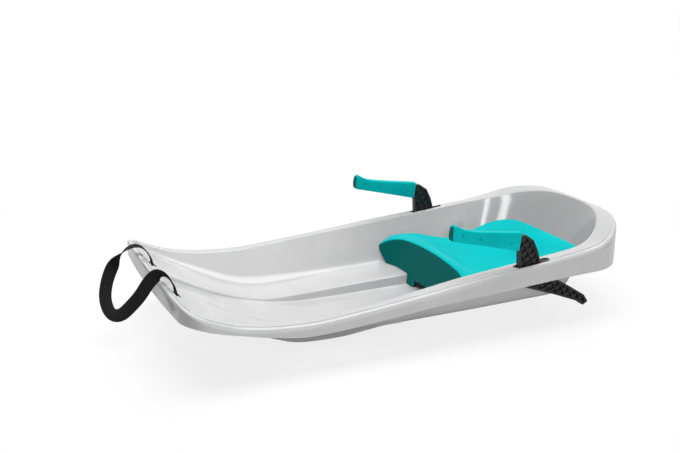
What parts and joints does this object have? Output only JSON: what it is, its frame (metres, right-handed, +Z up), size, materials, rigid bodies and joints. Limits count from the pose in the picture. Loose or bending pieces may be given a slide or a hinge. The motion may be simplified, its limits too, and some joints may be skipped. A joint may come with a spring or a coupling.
{
  "type": "child's snow sled",
  "caption": "Moulded one-seat snow sled: thin open tub with rolled rim, seat insert, hinged brake levers with grips, and a webbing pull strap at the nose.",
  "frame": {"origin": "on the floor under the middle of the hull's length and width", "axes": "+X towards the nose, +Y to the sled's left, +Z up"},
  "size_m": [0.9555, 0.448, 0.2133],
  "materials": {
    "hull_plastic": "light grey glossy moulded plastic",
    "seat_plastic": "turquoise moulded plastic, satin gloss",
    "lever_plastic": "black moulded plastic",
    "pin_steel": "plain steel pin",
    "strap_webbing": "black woven webbing"
  },
  "bodies": {
    "sled": {"hull": "hull_plastic", "seat": "seat_plastic", "pull_strap": "strap_webbing", "strap_stop_left": "lever_plastic", "strap_stop_right": "lever_plastic", "pivot_pin_left": "pin_steel", "pivot_pin_right": "pin_steel"},
    "brake_left": {"brake_lever_left": "lever_plastic", "grip_left": "seat_plastic"},
    "brake_right": {"brake_lever_right": "lever_plastic", "grip_right": "seat_plastic"}
  },
  "joints": [
    {"name": "brake_left_pull", "type": "hinge", "parent": "sled", "child": "brake_left", "pos_m": [-0.188, 0.1975, 0.1], "axis": [0, -1, 0], "range_deg": [0, 28]},
    {"name": "brake_right_pull", "type": "hinge", "parent": "sled", "child": "brake_right", "pos_m": [-0.188, -0.1975, 0.1], "axis": [0, -1, 0], "range_deg": [0, 28]}
  ]
}
